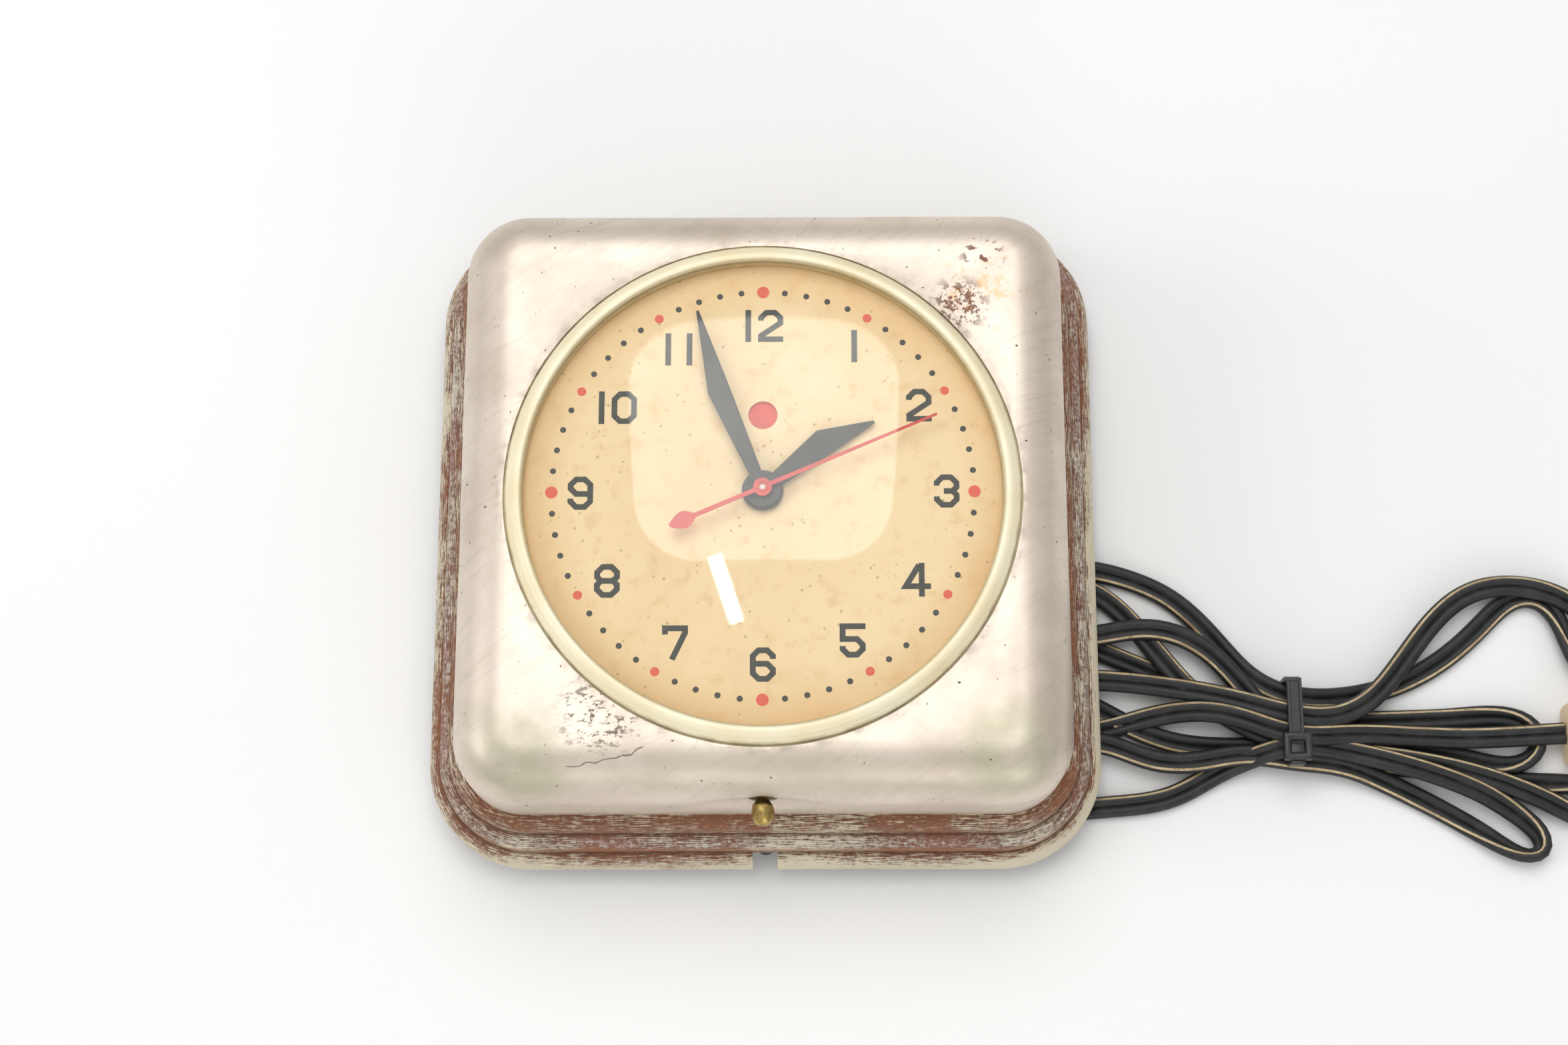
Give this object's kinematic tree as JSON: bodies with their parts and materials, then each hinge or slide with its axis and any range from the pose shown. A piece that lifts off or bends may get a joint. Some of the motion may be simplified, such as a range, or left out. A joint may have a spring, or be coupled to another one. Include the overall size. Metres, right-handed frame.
{
  "type": "electric wall clock",
  "caption": "Square electric wall clock lying on its back: domed round crystal, sweep second hand, stepped pressed-steel case, setting knob and a tied mains cord.",
  "frame": {"origin": "on the surface that the clock lies on, under the centre of the dial", "axes": "+Z out through the dial, +Y towards 12 o'clock, +X towards 3 o'clock"},
  "size_m": [0.3254, 0.169, 0.0682],
  "materials": {
    "worn_paint": "cream paint worn through to rust and bare steel",
    "worn_nickel": "dulled nickel plate with fine pits and rust spots",
    "bezel_plastic": "aged cream moulding",
    "crystal_glass": "clear domed glass",
    "dial_paint": "aged cream enamel",
    "plain_steel": "plain",
    "back_paint": "dark stoved paint",
    "black_rubber": "matte",
    "plate_brass": "plain",
    "gear_brass": "plain",
    "core_iron": "stacked laminations",
    "bobbin_fibre": "fibre board",
    "coil_copper": "enamelled copper",
    "can_metal": "drawn can",
    "red_hand": "red enamel",
    "black_hand": "black enamel",
    "knob_brass": "worn and dull",
    "flag_red": "red and cream enamel",
    "cord_rubber": "black with a cream tracer",
    "tie_nylon": "black nylon",
    "plug_plastic": "cream"
  },
  "bodies": {
    "root_case": {"back_pan": "worn_paint", "front_cover": "worn_nickel", "bezel_ring": "bezel_plastic", "crystal": "crystal_glass", "dial": "dial_paint", "dial_clips": "plain_steel", "cover_brackets": "plain_steel", "case_screws": "plain_steel", "back_cover": "back_paint", "back_cover_screws": "plain_steel", "hanger_plate": "plain_steel", "hanger_rivets": "plain_steel", "wall_bumper": "black_rubber", "cord_grommet": "black_rubber", "movement_back_plate": "plate_brass", "movement_front_plate": "plate_brass", "plate_pillars": "plate_brass", "pillar_nuts": "plain_steel", "movement_washers": "plain_steel", "movement_screws": "plain_steel", "field_core": "core_iron", "coil_bobbin": "bobbin_fibre", "coil_winding": "coil_copper", "shading_rings": "coil_copper", "core_spacers": "plain_steel", "core_screws": "plain_steel", "rotor_can": "can_metal", "can_clamp": "plain_steel", "motion_work_stud": "plain_steel", "set_bracket": "plate_brass", "indicator_stud": "plain_steel", "cord_lead": "cord_rubber", "cord_hank": "cord_rubber", "cable_tie": "tie_nylon", "plug_body": "plug_plastic", "plug_blades": "gear_brass"},
    "second": {"seconds_arbor": "plain_steel", "seconds_wheel": "gear_brass", "second_hand": "red_hand"},
    "rotor": {"rotor_pinion": "gear_brass"},
    "intermediate": {"intermediate_arbor": "plain_steel", "intermediate_wheel": "gear_brass"},
    "minute": {"minute_tube": "plain_steel", "minute_gear": "gear_brass", "clutch_spring": "plain_steel", "crown_wheel": "gear_brass", "cannon_pinion": "gear_brass", "minute_hand": "black_hand"},
    "motion_work": {"motion_work_wheel": "gear_brass"},
    "hour": {"hour_wheel": "gear_brass", "hour_hand": "black_hand"},
    "setting": {"set_shaft": "plain_steel", "set_pinion": "gear_brass", "set_knob": "knob_brass"},
    "flag": {"indicator_flag": "flag_red"}
  },
  "joints": [
    {"name": "minute_spin", "type": "hinge", "parent": "root_case", "child": "minute", "pos_m": [0, 0, 0.04], "axis": [0, 0, -1], "continuous": true},
    {"name": "second_spin", "type": "hinge", "parent": "root_case", "child": "second", "pos_m": [0, 0, 0.05], "axis": [0, 0, -1], "continuous": true},
    {"name": "rotor_spin", "type": "hinge", "parent": "root_case", "child": "rotor", "pos_m": [0, 0.015, 0.034], "axis": [0, 0, -1], "continuous": true},
    {"name": "intermediate_spin", "type": "hinge", "parent": "root_case", "child": "intermediate", "pos_m": [-0.01212, -0.007, 0.04], "axis": [0, 0, -1], "continuous": true},
    {"name": "motion_work_spin", "type": "hinge", "parent": "root_case", "child": "motion_work", "pos_m": [0.00779, -0.0045, 0.04], "axis": [0, 0, -1], "continuous": true},
    {"name": "hour_spin", "type": "hinge", "parent": "root_case", "child": "hour", "pos_m": [0, 0, 0.055], "axis": [0, 0, -1], "continuous": true},
    {"name": "setting_spin", "type": "hinge", "parent": "root_case", "child": "setting", "pos_m": [0, 0, 0.04703], "axis": [0, -1, 0], "continuous": true},
    {"name": "flag_tip", "type": "hinge", "parent": "root_case", "child": "flag", "pos_m": [0, 0.028, 0.0556], "axis": [0, 0, 1], "range_deg": [0, 60]}
  ],
  "couplings": [
    {"joint": "second_spin", "follows": "minute_spin", "ratio": 60},
    {"joint": "rotor_spin", "follows": "minute_spin", "ratio": -216},
    {"joint": "intermediate_spin", "follows": "minute_spin", "ratio": -8},
    {"joint": "motion_work_spin", "follows": "minute_spin", "ratio": -0.33333},
    {"joint": "hour_spin", "follows": "minute_spin", "ratio": 0.083333},
    {"joint": "setting_spin", "follows": "minute_spin", "ratio": -4.5}
  ]
}
